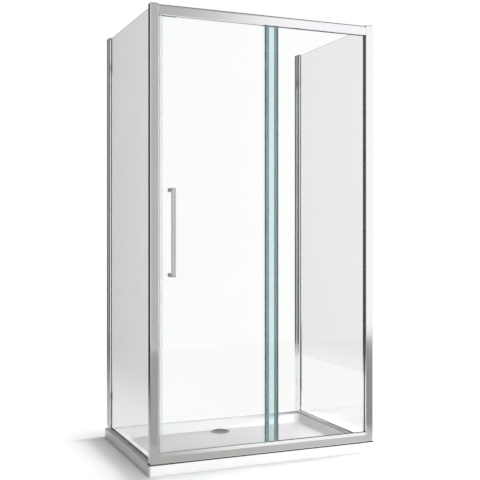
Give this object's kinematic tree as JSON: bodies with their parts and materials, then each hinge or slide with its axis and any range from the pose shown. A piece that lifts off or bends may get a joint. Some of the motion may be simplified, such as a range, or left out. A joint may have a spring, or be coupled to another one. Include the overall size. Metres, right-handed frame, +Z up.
{
  "type": "shower enclosure",
  "caption": "Three-sided glass shower enclosure with a sliding front door that runs in a rail behind a fixed pane, on a low tray with a domed waste.",
  "frame": {"origin": "centre of the tray's flat underside, on the floor", "axes": "+X to the right along the front, +Y from the front towards the wall, +Z up"},
  "size_m": [1.1, 0.781, 1.995],
  "materials": {
    "polished_aluminium": "polished",
    "chrome": "polished",
    "clear_glass": "clear toughened",
    "tray_acrylic": "gloss white",
    "clear_seal": "translucent",
    "black_rubber": "matt",
    "roller_nylon": "moulded",
    "stainless_steel": "brushed",
    "grey_cap": "moulded"
  },
  "bodies": {
    "enclosure": {"tray": "tray_acrylic", "waste_gasket": "black_rubber", "waste_body": "chrome", "waste_nut": "roller_nylon", "left_post": "polished_aluminium", "right_post": "polished_aluminium", "left_post_cap": "grey_cap", "right_post_cap": "grey_cap", "top_rail": "polished_aluminium", "bottom_rail": "polished_aluminium", "frame_bead": "black_rubber", "bottom_infill": "clear_seal", "top_infill": "clear_seal", "corner_blocks": "stainless_steel", "frame_screws": "stainless_steel", "screw_caps": "grey_cap", "fixed_glass": "clear_glass", "fixed_glass_gasket": "clear_seal", "fixed_glass_seal": "clear_seal", "post_magnet_seal": "clear_seal", "left_end_stop": "black_rubber", "right_end_stop": "black_rubber", "left_side_glass": "clear_glass", "left_side_sill": "polished_aluminium", "left_side_gasket": "clear_seal", "left_wall_channel": "polished_aluminium", "left_glass_profile": "polished_aluminium", "left_profile_screws": "stainless_steel", "left_profile_cap": "grey_cap", "right_side_glass": "clear_glass", "right_side_sill": "polished_aluminium", "right_side_gasket": "clear_seal", "right_wall_channel": "polished_aluminium", "right_glass_profile": "polished_aluminium", "right_profile_screws": "stainless_steel", "right_profile_cap": "grey_cap"},
    "door": {"door_glass": "clear_glass", "door_magnet_seal": "clear_seal", "door_overlap_seal": "clear_seal", "door_bottom_seal": "clear_seal", "door_handle": "chrome", "handle_washers": "black_rubber", "handle_screws": "stainless_steel", "handle_caps": "chrome", "left_hanger": "stainless_steel", "right_hanger": "stainless_steel", "hanger_bolts": "stainless_steel", "wheel_axles": "stainless_steel", "left_guide": "roller_nylon", "right_guide": "roller_nylon"},
    "left_wheel_1": {"left_wheel_1": "roller_nylon"},
    "left_wheel_2": {"left_wheel_2": "roller_nylon"},
    "right_wheel_1": {"right_wheel_1": "roller_nylon"},
    "right_wheel_2": {"right_wheel_2": "roller_nylon"},
    "left_guide_roller": {"left_guide_roller": "roller_nylon"},
    "right_guide_roller": {"right_guide_roller": "roller_nylon"},
    "waste_lift": {"hair_trap": "roller_nylon", "waste_cover": "chrome"}
  },
  "joints": [
    {"name": "door_slide", "type": "slide", "parent": "enclosure", "child": "door", "axis": [1, 0, 0], "range_m": [0, 0.42]},
    {"name": "left_wheel_1_spin", "type": "hinge", "parent": "door", "child": "left_wheel_1", "pos_m": [-0.471, -0.333, 1.9723], "axis": [0, 1, 0], "range_deg": [-10, 2198]},
    {"name": "left_wheel_2_spin", "type": "hinge", "parent": "door", "child": "left_wheel_2", "pos_m": [-0.431, -0.333, 1.9723], "axis": [0, 1, 0], "range_deg": [-10, 2198]},
    {"name": "right_wheel_1_spin", "type": "hinge", "parent": "door", "child": "right_wheel_1", "pos_m": [-0.0035, -0.333, 1.9723], "axis": [0, 1, 0], "range_deg": [-10, 2198]},
    {"name": "right_wheel_2_spin", "type": "hinge", "parent": "door", "child": "right_wheel_2", "pos_m": [0.0365, -0.333, 1.9723], "axis": [0, 1, 0], "range_deg": [-10, 2198]},
    {"name": "left_guide_roller_spin", "type": "hinge", "parent": "door", "child": "left_guide_roller", "pos_m": [-0.451, -0.344, 0.067], "axis": [0, 0, 1], "range_deg": [-10, 4308]},
    {"name": "right_guide_roller_spin", "type": "hinge", "parent": "door", "child": "right_guide_roller", "pos_m": [0.0165, -0.344, 0.067], "axis": [0, 0, 1], "range_deg": [-10, 4308]},
    {"name": "waste_lift_out", "type": "slide", "parent": "enclosure", "child": "waste_lift", "axis": [0, 0, 1], "range_m": [0, 0.06]}
  ],
  "couplings": [
    {"joint": "left_wheel_1_spin", "follows": "door_slide", "rad_per_m": 90.909},
    {"joint": "left_wheel_2_spin", "follows": "door_slide", "rad_per_m": 90.909},
    {"joint": "right_wheel_1_spin", "follows": "door_slide", "rad_per_m": 90.909},
    {"joint": "right_wheel_2_spin", "follows": "door_slide", "rad_per_m": 90.909},
    {"joint": "left_guide_roller_spin", "follows": "door_slide", "rad_per_m": 178.57},
    {"joint": "right_guide_roller_spin", "follows": "door_slide", "rad_per_m": 178.57}
  ]
}
